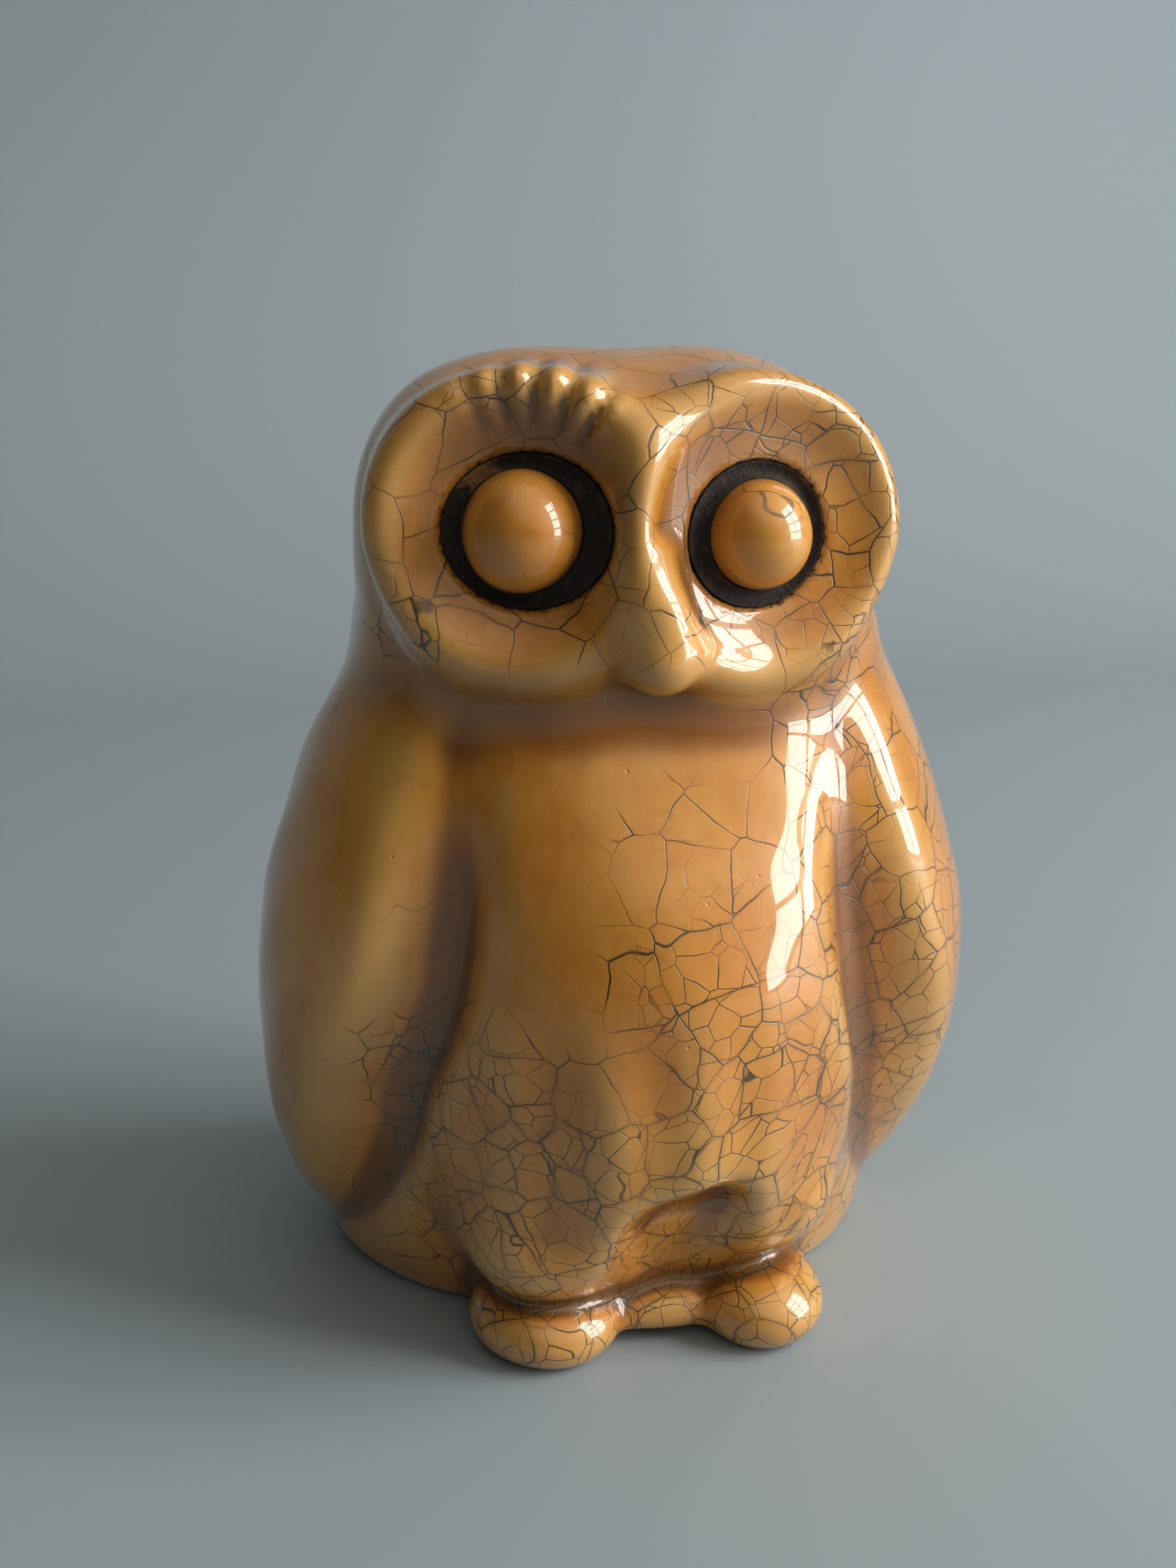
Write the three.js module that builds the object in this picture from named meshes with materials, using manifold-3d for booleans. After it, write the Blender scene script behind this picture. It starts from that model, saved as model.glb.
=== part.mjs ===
import * as THREE from "three";
import { mergeVertices } from "three/addons/utils/BufferGeometryUtils.js";
import Module from "manifold-3d";

// A hollow, slip-cast and glazed earthenware owl figurine.
// Millimetres, +Z up, the owl looks along -Y, so its own left side is +X.

// ---- driving dimensions ------------------------------------------------

const WALL = 4.5; // thickness of the cast shell
const GAP = 0.3; // clearance between two pieces that touch
const POUR_HOLE_RADIUS = 12; // drain hole in the underside
const FLOOR_ROUNDING = 4; // softness of the edge the owl stands on
const SPACING = 42; // turns a ratio of radii into a distance in millimetres
const SPINE = { from: [0, 3, 24], to: [0, 0, 130] }; // every part of the skin faces this line

// Lean of the head towards the owl's right, measured at the middle of the face.
const HEAD_X = -1.9;
const HEAD_CENTRE = [HEAD_X, 0, 118.5];
const HEAD_RADII = [38.4, 34.5, 30.6];
const HEAD_SQUARENESS = 2.6;
const BROW_RADII = [20.5, 21.5, 15];
const BROWS = [[HEAD_X - 14.5, -13, 133.4], [HEAD_X + 11.3, -13, 133.4]];
const CHEEK = { centre: [24, -6, 110], radii: [12.3, 18, 11] }; // only on the owl's left

// The two balls and the wells around them differ: the owl's right eye is the larger.
// A well's shift is measured away from the beak.
const EYE_CANT = THREE.MathUtils.degToRad(14); // each eye looks a little outward
const EYES = {
  right: {
    side: -1,
    centre: [HEAD_X - 16.7, -31, 126],
    radius: 8.2,
    well: { halfWidth: 11.5, halfHeight: 10.2, shift: -0.8 },
  },
  left: {
    side: 1,
    centre: [HEAD_X + 15.6, -31, 125],
    radius: 7.5,
    well: { halfWidth: 10.4, halfHeight: 9.9, shift: -0.3 },
  },
};
const WELL_FLOOR = -1.8; // along the eye's own axis, outward positive
const RING_TOP_OUTER = 1.3;
const RING_TOP_INNER = 0.4;
const DISC_RIM_RADIUS = 16.3; // raised rim around each facial disc
const DISC_RIM_THICKNESS = 4.6;
const RIM_LIFT = 1; // the rim sits this much above the eye
const RIM_SQUASH = 0.96; // the upper half of each rim is this much lower than a circle
const RIM_STRETCH = 1.02; // the lower half is this much deeper than a circle
const DISH_CENTRE = [0, 1.8, 13.5]; // sideways, up and outward from the eye
const DISH_RADII = [19.6, 21, 13];

// The beak hangs from the ridge that the two facial discs share.
const BEAK_PATH = [
  { at: [-2.4, -37, 121.5], radius: 2.4 },
  { at: [-2, -38.4, 115.5], radius: 3.6 },
  { at: [-1, -38.4, 109.4], radius: 4.5 },
];

const FEET = {
  right: { centre: [-14.5, -24, 4.6], radii: [12.5, 13.3, 7] },
  left: { centre: [18.2, -25, 4.6], radii: [10.5, 12.5, 7] },
};

// Profiles: [height, value] pairs, read with a smooth curve between them.
const WING_HALF_WIDTH = [
  [-4, 44.5], [0, 46.4], [5, 48.8], [10, 50.5], [20, 53.5], [30, 55.8], [42, 57.3],
  [52, 57.4], [62, 56.9], [72, 55.2], [82, 52], [92, 48.2], [102, 43.2], [110, 39.8], [120, 36],
];
const WING_FRONT_DEPTH = [
  [0, 34], [10, 37], [20, 40], [32, 43], [46, 45.5], [60, 46], [72, 44.5], [82, 42],
  [92, 38.5], [102, 35], [112, 32],
];
const WING_REAR_DEPTH = [
  [0, 29], [10, 33], [20, 37], [32, 41], [46, 44.5], [60, 45], [72, 43.5], [82, 41],
  [92, 38], [102, 35], [112, 33],
];
const CORE_HALF_WIDTH = [
  [-4, 44], [0, 45.8], [5, 47.2], [10, 48.2], [20, 50.2], [30, 51.6], [42, 52.3], [52, 52.3],
  [62, 51.6], [72, 49.8], [82, 46.8], [92, 43], [102, 39], [110, 36.5], [120, 34],
];
const CORE_FRONT_DEPTH = [
  [0, 33], [10, 35], [20, 36], [32, 38], [46, 40], [60, 40.5], [72, 39.5], [82, 37.5],
  [92, 35], [102, 32], [112, 29],
];
const CORE_REAR_DEPTH = [
  [0, 29], [10, 33], [20, 36], [32, 39], [46, 41.5], [60, 42], [72, 40.5], [82, 38],
  [92, 35], [102, 32], [112, 30],
];
// The lower body sits further back than the chest.
const BODY_CENTRE_Y = [[0, 14], [10, 11], [20, 8], [32, 4.5], [46, 2], [60, 1], [110, 0.5]];
// The chest is a little squarer than an ellipse, for which this exponent is 2.
const CHEST_SQUARENESS = [[66, 2], [88, 2.4], [104, 2.4]];
// The body's slices lean towards the owl's right near the ground.
const BODY_LEAN = [[0, 0.2], [12, 0.6], [28, 0.9], [42, 0.6], [60, 0]];
// Valley between wing and belly, in degrees round from the front.
const VALLEY_ANGLE = [
  [5, 96], [12, 84], [20, 74], [33, 62], [43, 55.5], [52, 49.5], [62, 45], [73, 42.5],
  [84, 42.5], [94, 43], [106, 44],
];
const VALLEY_DEPTH = [
  [4, 0], [15, 1.8], [28, 3.5], [45, 4.4], [65, 3.8], [80, 2.4], [92, 1.2], [104, 0.2],
];
const VALLEY_HALF_WIDTH = 6.5;
const RIGHT_VALLEY_DEEPENING = 1.3; // the valley on the owl's right is this much deeper
const WING_EDGE_PAST_VALLEY = 4; // degrees
// Rear edge of each folded wing, in degrees round from the front.
const WING_REAR_ANGLE = [
  [5, 104], [12, 113], [20, 124], [35, 141], [50, 154], [70, 165], [90, 171], [106, 175],
];
const WING_TIP_HEIGHT = 5.5;

const GLAZE = { color: 0xb4742a, roughness: 0.15, metalness: 0 };
const EYE_GLAZE = { color: 0xbd8236, roughness: 0.12, metalness: 0 };
const DARK_SLIP = { color: 0x2b2422, roughness: 0.8, metalness: 0 };

// ---- distance-like fields ----------------------------------------------
// Each returns roughly the distance to a surface: negative inside, positive outside.

function smoothMin(a, b, softness) {
  const share = THREE.MathUtils.clamp(0.5 + (0.5 * (b - a)) / softness, 0, 1);
  return b + (a - b) * share - softness * share * (1 - share);
}

function smoothMax(a, b, softness) {
  return -smoothMin(-a, -b, softness);
}

function ellipsoid(x, y, z, centre, radii) {
  const px = (x - centre[0]) / radii[0];
  const py = (y - centre[1]) / radii[1];
  const pz = (z - centre[2]) / radii[2];
  const reach = Math.hypot(px, py, pz);
  const steepness = Math.hypot(px / radii[0], py / radii[1], pz / radii[2]);
  return (reach * (reach - 1)) / Math.max(steepness, 1e-6);
}

function roundCone(x, y, z, from, to, fromRadius, toRadius) {
  const dx = to[0] - from[0];
  const dy = to[1] - from[1];
  const dz = to[2] - from[2];
  const along = (x - from[0]) * dx + (y - from[1]) * dy + (z - from[2]) * dz;
  const t = THREE.MathUtils.clamp(along / (dx * dx + dy * dy + dz * dz), 0, 1);
  const away = Math.hypot(x - from[0] - t * dx, y - from[1] - t * dy, z - from[2] - t * dz);
  return away - (fromRadius + (toRadius - fromRadius) * t);
}

// Smooth curve through [height, value] pairs, held constant beyond both ends.
function profile(points, height) {
  const last = points.length - 1;
  const z = THREE.MathUtils.clamp(height, points[0][0], points[last][0]);
  let i = 0;
  while (i < last - 1 && z > points[i + 1][0]) i += 1;
  const slope = (k) => {
    const before = points[Math.max(k - 1, 0)];
    const after = points[Math.min(k + 1, last)];
    return (after[1] - before[1]) / (after[0] - before[0]);
  };
  const [z0, v0] = points[i];
  const [z1, v1] = points[i + 1];
  const t = (z - z0) / (z1 - z0);
  const t2 = t * t;
  const t3 = t2 * t;
  return (2 * t3 - 3 * t2 + 1) * v0 + (3 * t2 - 2 * t3) * v1
    + (z1 - z0) * ((t3 - 2 * t2 + t) * slope(i) + (t3 - t2) * slope(i + 1));
}

// A body of oval slices, each with its own width, front depth and rear depth.
function ovalBody(x, y, z, halfWidth, frontDepth, rearDepth, squareness = 2) {
  const centreY = profile(BODY_CENTRE_Y, z);
  const depth = profile(y < centreY ? frontDepth : rearDepth, z);
  const across = Math.abs(x) / profile(halfWidth, z);
  const along = Math.abs(y - centreY) / depth;
  return ((across ** squareness + along ** squareness) ** (1 / squareness) - 1) * SPACING;
}

function angleFromFront(x, y) {
  return THREE.MathUtils.radToDeg(Math.atan2(Math.abs(x), 1 - y));
}

function arcLength(degrees) {
  return THREE.MathUtils.degToRad(degrees) * 46;
}

function torso(x, y, z) {
  const squareness = profile(CHEST_SQUARENESS, z);
  const core = ovalBody(x, y, z, CORE_HALF_WIDTH, CORE_FRONT_DEPTH, CORE_REAR_DEPTH, squareness);
  const belly = ellipsoid(x, y, z, [1, -9, 50], [35, 38.5, 50]);
  const rightThigh = roundCone(x, y, z, [-12, -20, 48], [-15, -25.3, 21.6], 17, 13);
  const leftThigh = roundCone(x, y, z, [13, -20, 48], [20.5, -23.5, 24], 17, 10.5);
  const cleft = roundCone(x, y, z, [5.2, -42, 2], [6.3, -47, 21], 15.5, 11.8);
  const front = smoothMin(smoothMin(smoothMin(core, belly, 8), rightThigh, 5), leftThigh, 5);
  return smoothMax(front, -cleft, 5);
}

function wings(x, y, z) {
  const surface = ovalBody(x, y, z, WING_HALF_WIDTH, WING_FRONT_DEPTH, WING_REAR_DEPTH);
  const angle = angleFromFront(x, y);
  const beforeFront = profile(VALLEY_ANGLE, z) + WING_EDGE_PAST_VALLEY - angle;
  const pastRear = angle - profile(WING_REAR_ANGLE, z);
  const leaf = smoothMax(arcLength(Math.max(beforeFront, pastRear)), WING_TIP_HEIGHT - z, 4);
  return smoothMax(surface, leaf, 9);
}

function valley(x, y, z) {
  const offset = arcLength(angleFromFront(x, y) - profile(VALLEY_ANGLE, z));
  const depth = profile(VALLEY_DEPTH, z) * (x < 0 ? RIGHT_VALLEY_DEEPENING : 1);
  return depth * Math.exp(-((offset / VALLEY_HALF_WIDTH) ** 2));
}

// Low apron of clay between the two feet, arched clear of the ground.
function apron(x, y, z) {
  const lump = ellipsoid(x, y, z, [3, -17, 4.6], [19, 13.5, 6]);
  const arch = ellipsoid(x, y, z, [3, -32, 0], [9, 12, 2.2]);
  return smoothMax(lump, -arch, 1);
}

function lowerBody(x, y, z) {
  const tail = roundCone(x, y, z, [0, 30, 36], [0, 36, 4], 12, 8);
  const leaned = x + profile(BODY_LEAN, z);
  const winged = smoothMin(torso(leaned, y, z), wings(leaned, y, z), 4) + valley(leaned, y, z);
  const standing = smoothMin(smoothMin(winged, tail, 8), apron(x, y, z), 2);
  return smoothMax(standing, Math.max(z - 112, -0.8 - z), FLOOR_ROUNDING);
}

// Coordinates of a point in one eye's own frame: sideways, up and outward.
function eyeFrame(x, y, z, eye) {
  const outX = eye.side * Math.sin(EYE_CANT);
  const outY = -Math.cos(EYE_CANT);
  const dx = x - eye.centre[0];
  const dy = y - eye.centre[1];
  return {
    sideways: (dy * outX - dx * outY) * eye.side,
    up: z - eye.centre[2],
    outward: dx * outX + dy * outY,
  };
}

// Raised ring around an eye.
function discRim(at) {
  const above = at.up - RIM_LIFT;
  const ringRadius = Math.hypot(at.sideways, above / (above > 0 ? RIM_SQUASH : RIM_STRETCH));
  return Math.hypot(ringRadius - DISC_RIM_RADIUS, at.outward) - DISC_RIM_THICKNESS;
}

function head(x, y, z) {
  const n = HEAD_SQUARENESS;
  const sum = [x, y, z].reduce(
    (total, value, i) => total + (Math.abs(value - HEAD_CENTRE[i]) / HEAD_RADII[i]) ** n, 0);
  let shape = (sum ** (1 / n) - 1) * 33;
  const [rightBrow, leftBrow] = BROWS.map((centre) => ellipsoid(x, y, z, centre, BROW_RADII));
  shape = smoothMin(shape, smoothMin(rightBrow, leftBrow, 9), 8);
  for (const eye of Object.values(EYES)) {
    const at = eyeFrame(x, y, z, eye);
    const dish = ellipsoid(at.sideways, at.up, at.outward, DISH_CENTRE, DISH_RADII);
    shape = smoothMax(smoothMin(shape, discRim(at), 8), -dish, 5);
  }
  return smoothMin(shape, ellipsoid(x, y, z, CHEEK.centre, CHEEK.radii), 5);
}

function owl(x, y, z) {
  return smoothMin(lowerBody(x, y, z), head(x, y, z), 5);
}

// The hollow keeps one wall thickness away from the outside and from both eye seats.
function hollow(x, y, z) {
  let shape = owl(x, y, z) + WALL;
  for (const eye of Object.values(EYES)) {
    const fromEye = Math.hypot(x - eye.centre[0], y - eye.centre[1], z - eye.centre[2]);
    shape = smoothMax(shape, eye.radius + GAP + WALL - fromEye, 3);
  }
  return smoothMax(shape, WALL - z, 3);
}

function beakShape(x, y, z) {
  const [top, bend, tip] = BEAK_PATH;
  const upper = roundCone(x, y, z, top.at, bend.at, top.radius, bend.radius);
  const lower = roundCone(x, y, z, bend.at, tip.at, bend.radius, tip.radius);
  return smoothMin(upper, lower, 1);
}

// ---- meshes ---------------------------------------------------------------

function bare(geometry) {
  geometry.deleteAttribute("normal");
  geometry.deleteAttribute("uv");
  return mergeVertices(geometry, 1e-4);
}

function solid(geometry) {
  const clean = bare(geometry);
  return new wasm.Manifold(new wasm.Mesh({
    numProp: 3,
    vertProperties: new Float32Array(clean.attributes.position.array),
    triVerts: new Uint32Array(clean.index.array),
  }));
}

// Distance out along a ray to the last place where the field crosses the level.
function surfaceDistance(field, start, direction, level) {
  const value = (r) => field(
    start.x + direction.x * r, start.y + direction.y * r, start.z + direction.z * r) - level;
  let outside = 75;
  while (outside > 1 && value(outside - 1) > 0) outside -= 1;
  let inside = outside - 1;
  for (let i = 0; i < 24; i += 1) {
    const middle = (inside + outside) / 2;
    if (value(middle) > 0) outside = middle;
    else inside = middle;
  }
  return inside;
}

// Splits each four-sided patch along the diagonal that lies closer to the surface,
// so that a crease running across the patches stays smooth.
function followCreases(geometry, field, level) {
  const { index, attributes: { position } } = geometry;
  const offSurface = (i, j) => {
    const middle = new THREE.Vector3().fromBufferAttribute(position, i)
      .add(new THREE.Vector3().fromBufferAttribute(position, j)).multiplyScalar(0.5);
    return Math.abs(field(middle.x, middle.y, middle.z) - level);
  };
  for (let i = 0; i < index.count; i += 6) {
    const [a, b, c, d] = [0, 1, 2, 4].map((k) => index.getX(i + k));
    const fourCorners = new Set([a, b, c, d]).size === 4;
    if (fourCorners && offSurface(a, d) < offSurface(b, c)) {
      [a, b, d, a, d, c].forEach((corner, k) => index.setX(i + k, corner));
    }
  }
}

// Shrinks a capsule, whose axis runs between two points, onto a field's surface.
// frontBias above 0 gathers more of the mesh on the -Y side, and capBias above 0 gathers more of
// each cap's rings next to the straight part.
function wrap(field, from, to, { around, along, caps, frontBias = 0, capBias = 0, level = 0 }) {
  const start = new THREE.Vector3(...from);
  const axis = new THREE.Vector3(...to).sub(start);
  const length = axis.length();
  axis.normalize();
  const capsule = bare(new THREE.CapsuleGeometry(1, length, caps, around, along));
  const turn = new THREE.Quaternion().setFromUnitVectors(new THREE.Vector3(0, 1, 0), axis);
  const position = capsule.attributes.position;
  for (let i = 0; i < position.count; i += 1) {
    const vertex = new THREE.Vector3().fromBufferAttribute(position, i);
    const alongAxis = THREE.MathUtils.clamp(vertex.y, -length / 2, length / 2);
    const direction = vertex.setY(vertex.y - alongAxis).normalize().applyQuaternion(turn);
    const angle = Math.atan2(direction.x, -direction.y);
    const steepness = Math.atan2(direction.z, Math.hypot(direction.x, direction.y));
    const turned = angle - frontBias * Math.sin(angle);
    const lowered = steepness - 0.5 * capBias * Math.sin(2 * steepness);
    const flat = Math.cos(lowered);
    direction.set(Math.sin(turned) * flat, -Math.cos(turned) * flat, Math.sin(lowered));
    const origin = start.clone().addScaledVector(axis, alongAxis + length / 2);
    const reach = surfaceDistance(field, origin, direction, level);
    origin.addScaledVector(direction, reach);
    position.setXYZ(i, origin.x, origin.y, origin.z);
  }
  followCreases(capsule, field, level);
  return solid(capsule);
}

function owlSkin(level) {
  return wrap(owl, SPINE.from, SPINE.to,
    { around: 68, along: 27, caps: 14, frontBias: 0.35, capBias: 0.55, level });
}

function belowFloor() {
  return solid(new THREE.BoxGeometry(200, 200, 40).translate(0, 0, -20));
}

// Stretches a round shape whose axis is +Z to the outline of an eye's well, less a margin.
function fitToWell(geometry, { side, well }, margin) {
  geometry.scale(well.halfWidth - margin, well.halfHeight - margin, 1);
  return geometry.translate(side * well.shift, 0, 0);
}

// Moves a shape whose axis is +Z at the origin into an eye's place, facing outward.
function placeAtEye(geometry, eye) {
  geometry.rotateX(Math.PI / 2);
  geometry.rotateZ(eye.side * EYE_CANT);
  return geometry.translate(...eye.centre);
}

function ballOf(eye, margin) {
  return solid(placeAtEye(new THREE.SphereGeometry(eye.radius + margin, 24, 16), eye));
}

function bodyCasting() {
  const inside = wrap(hollow, SPINE.from, SPINE.to,
    { around: 26, along: 10, caps: 5, frontBias: 0.2 });
  const pourHole = solid(
    new THREE.CylinderGeometry(POUR_HOLE_RADIUS, POUR_HOLE_RADIUS, 30, 32)
      .rotateX(Math.PI / 2).translate(0, 14, 0));
  let casting = owlSkin(0).subtract(inside).subtract(pourHole).subtract(belowFloor());
  for (const eye of Object.values(EYES)) {
    const well = new THREE.CylinderGeometry(1, 1, 20, 36).rotateX(Math.PI / 2);
    fitToWell(well, eye, 0).translate(0, 0, WELL_FLOOR + 10);
    casting = casting.subtract(solid(placeAtEye(well, eye)));
    casting = casting.subtract(ballOf(eye, GAP));
  }
  return casting;
}

function beak() {
  const lump = wrap(beakShape, BEAK_PATH[2].at, [-2.1, -38, 117.5],
    { around: 20, along: 5, caps: 6 });
  return lump.subtract(owlSkin(GAP));
}

function foot({ centre, radii }) {
  const lump = new THREE.SphereGeometry(1, 24, 16).scale(...radii).translate(...centre);
  return solid(lump).subtract(owlSkin(GAP)).subtract(belowFloor());
}

// A dished plug that fills the well, with the ball's seat cut through its middle.
function eyeRing(eye) {
  const bottom = WELL_FLOOR + GAP;
  const outline = [
    [0, bottom],
    [1, bottom],
    [1, RING_TOP_OUTER - 0.4],
    [0.95, RING_TOP_OUTER],
    [0.9, RING_TOP_INNER],
    [0, RING_TOP_INNER],
  ].map(([share, height]) => new THREE.Vector2(share, height));
  const plug = fitToWell(new THREE.LatheGeometry(outline, 36).rotateX(Math.PI / 2), eye, GAP);
  return solid(placeAtEye(plug, eye)).subtract(ballOf(eye, GAP));
}

function namedMesh(name, body, finish) {
  const { vertProperties, triVerts } = body.getMesh();
  const geometry = new THREE.BufferGeometry();
  geometry.setAttribute("position", new THREE.BufferAttribute(vertProperties, 3));
  geometry.setIndex(new THREE.BufferAttribute(triVerts, 1));
  geometry.computeVertexNormals();
  const mesh = new THREE.Mesh(geometry, new THREE.MeshStandardMaterial(finish));
  mesh.name = name;
  return mesh;
}

const wasm = await Module();
wasm.setup();

const group = new THREE.Group();
group.name = "owl_figurine";
group.add(namedMesh("body_casting", bodyCasting(), GLAZE));
group.add(namedMesh("beak", beak(), GLAZE));
for (const side of ["left", "right"]) {
  group.add(namedMesh(`${side}_foot`, foot(FEET[side]), GLAZE));
  group.add(namedMesh(`${side}_eyeball`, ballOf(EYES[side], 0), EYE_GLAZE));
  group.add(namedMesh(`${side}_eye_ring`, eyeRing(EYES[side]), DARK_SLIP));
}

// The origin is the middle of the finished owl's box, on the floor.
const box = new THREE.Box3().setFromObject(group);
const middle = box.getCenter(new THREE.Vector3());
for (const mesh of group.children) {
  mesh.geometry.translate(-middle.x, -middle.y, -box.min.z);
}

export default group;
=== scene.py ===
import math

import bpy
import numpy as np
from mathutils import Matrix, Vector


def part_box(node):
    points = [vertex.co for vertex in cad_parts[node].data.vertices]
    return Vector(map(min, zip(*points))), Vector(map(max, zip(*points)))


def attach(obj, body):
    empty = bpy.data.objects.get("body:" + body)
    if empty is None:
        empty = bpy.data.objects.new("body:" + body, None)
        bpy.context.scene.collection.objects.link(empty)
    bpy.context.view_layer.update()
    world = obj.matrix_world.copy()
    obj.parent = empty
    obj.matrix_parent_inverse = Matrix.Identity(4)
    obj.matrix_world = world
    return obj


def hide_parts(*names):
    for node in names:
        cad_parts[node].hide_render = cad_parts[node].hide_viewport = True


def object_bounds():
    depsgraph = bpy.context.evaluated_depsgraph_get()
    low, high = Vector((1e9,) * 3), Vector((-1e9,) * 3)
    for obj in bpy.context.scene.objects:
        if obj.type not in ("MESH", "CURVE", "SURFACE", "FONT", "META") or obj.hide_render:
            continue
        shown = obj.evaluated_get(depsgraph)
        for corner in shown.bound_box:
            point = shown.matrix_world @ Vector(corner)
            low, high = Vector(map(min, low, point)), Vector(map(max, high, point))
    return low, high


# Looks of a glazed earthenware owl. The skin is one continuous surface, as glaze leaves it, meshed
# from a distance-like field; two ball eyes and two rings of dark slip sit in it.
# The owl looks along -Y, so its own left side is +X. Shapes are in millimetres.

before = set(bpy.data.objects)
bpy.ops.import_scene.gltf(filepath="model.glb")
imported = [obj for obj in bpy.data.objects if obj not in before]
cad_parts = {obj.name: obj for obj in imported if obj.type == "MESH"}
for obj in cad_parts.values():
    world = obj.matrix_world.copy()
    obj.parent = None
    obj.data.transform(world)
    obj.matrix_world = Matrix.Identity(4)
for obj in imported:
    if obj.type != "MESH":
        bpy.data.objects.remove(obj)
cad_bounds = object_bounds()

MM = 0.001
GRID_STEP = 1.15  # spacing of the grid that the skin is meshed on

# ---- shape of the skin ---------------------------------------------------

WALL = 4.5  # thickness of the cast shell
POUR_HOLE_RADIUS = 12
POUR_HOLE_Y = 14
SHOULDER_HEIGHT = 112  # the body is rounded off here, inside the head
UNDERSIDE_HEIGHT = -0.8
END_ROUNDING = 4
SPACING = 42  # turns a ratio of radii into a distance, in the body
HEAD_SPACING = 33
ARC_RADIUS = 46  # turns an angle round the body into a distance

HEAD_X = -1.9
HEAD_CENTRE = (HEAD_X, 0, 118.5)
HEAD_RADII = (38.4, 34.5, 30.6)
HEAD_SQUARENESS = 2.6
BROW_RADII = (20.5, 21, 15.4)
BROW_OFFSETS = (-14.5, 11.3)
BROW_Y = -14.8
BROW_Z = 132.6

# Egg shapes: centre and radii.
FOREHEAD = ((HEAD_X - 1.6, -21.5, 131.5), (10, 13, 12.5))  # fills the notch between the brows
LEFT_CHEEK = ((24, -6, 110), (12.3, 18, 11))
BELLY = ((1, -9, 50), (35, 38.5, 50))
APRON = ((3, -17, 4.6), (19, 13.5, 6))  # clay between the feet
APRON_ARCH = ((3, -32, 0), (9, 12, 2.2))

# Rounded cones: start, end and the radius at each.
THIGHS = (
    ((-12, -20, 48), (-15, -25.3, 21.6), 17, 13),
    ((13, -20, 48), (20.5, -23.5, 24), 17, 10.5),
)
CLEFT = ((5.2, -39.5, 1), (6.3, -45.5, 21), 15.5, 12)  # cut between the thighs
TAIL = ((0, 30, 36), (0, 36, 4), 12, 8)

FOOT_DEPTHS = {"right": 13.3, "left": 12.5}
FOOT_MIDDLE_HEIGHT = 4.6
FOOT_HALF_HEIGHT = 7

EYE_CENTRES = {"right": (HEAD_X - 16.7, -31, 126), "left": (HEAD_X + 15.6, -31, 125)}
EYE_CANT = math.radians(14)  # each eye looks this much outward
EYE_GAP = 0.15
WELL_FLOOR = -1.8  # along the eye's axis, from the ball's centre
# Half width, half height and shift away from the beak of the dark ring round each eye.
WELLS = {"right": (11.5, 10.2, -0.8), "left": (10.4, 9.9, -0.3)}
DISC_RIM_RADIUS = 16.3
DISC_RIM_THICKNESS = 4.6
RIM_LIFT = 1
RIM_SQUASH = 0.95  # height of each rim's upper half, where 1 is a circle
RIM_STRETCH = 1.02  # the same for its lower half
RIM_FORWARD = 0.5
DISH_LIFT = 1.6
DISH_FORWARD = 14
DISH_RADII = (18.8, 20.4, 13.5)
DISH_SQUARENESS = {"right": 3, "left": 4.2}  # above 2 flattens a dish's floor and steepens its wall

# The body's slices lean towards the owl's right near the ground.
BODY_LEAN = ((0, 0.2), (12, 0.6), (28, 0.9), (42, 0.6), (60, 0))
RIGHT_VALLEY_EXTRA = 1.3  # the valley on the owl's right is this much deeper

# Soft scallops pressed into the brow above the owl's right eye.
SCALLOP_PITCH = 13.6  # degrees
SCALLOP_PHASE = 70  # degrees up from the viewer's right, at one groove
SCALLOP_SPAN = (48, 128)
SCALLOP_DEPTH = 0.4

BEAK_PATH = (((-2.4, -36.2, 122), 2.6), ((-2, -37.6, 115.5), 3.8), ((-1, -37.2, 109.8), 5.2))

# Profiles: (height, value) pairs, read with a smooth curve between them.
WING_HALF_WIDTH = (
    (-4, 44.5), (0, 46.4), (5, 48.8), (10, 50.5), (20, 53.5), (30, 55.8), (42, 57.3), (52, 57.4),
    (62, 56.9), (72, 55.2), (82, 52), (92, 48.2), (102, 43.2), (110, 39.8), (120, 36),
)
WING_FRONT_DEPTH = (
    (0, 34), (10, 37), (20, 40), (32, 43), (46, 45.5), (60, 46), (72, 44.5), (82, 42), (92, 38.5),
    (102, 35), (112, 32),
)
WING_REAR_DEPTH = (
    (0, 29), (10, 33), (20, 37), (32, 41), (46, 44.5), (60, 45), (72, 43.5), (82, 41), (92, 38),
    (102, 35), (112, 33),
)
CORE_HALF_WIDTH = (
    (-4, 44), (0, 45.8), (5, 47.2), (10, 48.2), (20, 50.2), (30, 51.6), (42, 52.3), (52, 52.3),
    (62, 51.6), (72, 49.8), (82, 46.8), (92, 43), (102, 39), (110, 36.5), (120, 34),
)
CORE_FRONT_DEPTH = (
    (0, 33), (10, 35), (20, 36), (32, 38), (46, 40), (60, 40.5), (72, 39.5), (82, 37.5), (92, 35),
    (102, 32), (112, 29),
)
CORE_REAR_DEPTH = (
    (0, 29), (10, 33), (20, 36), (32, 39), (46, 41.5), (60, 42), (72, 40.5), (82, 38), (92, 35),
    (102, 32), (112, 30),
)
BODY_CENTRE_Y = ((0, 14), (10, 11), (20, 8), (32, 4.5), (46, 2), (60, 1), (110, 0.5))
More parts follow.
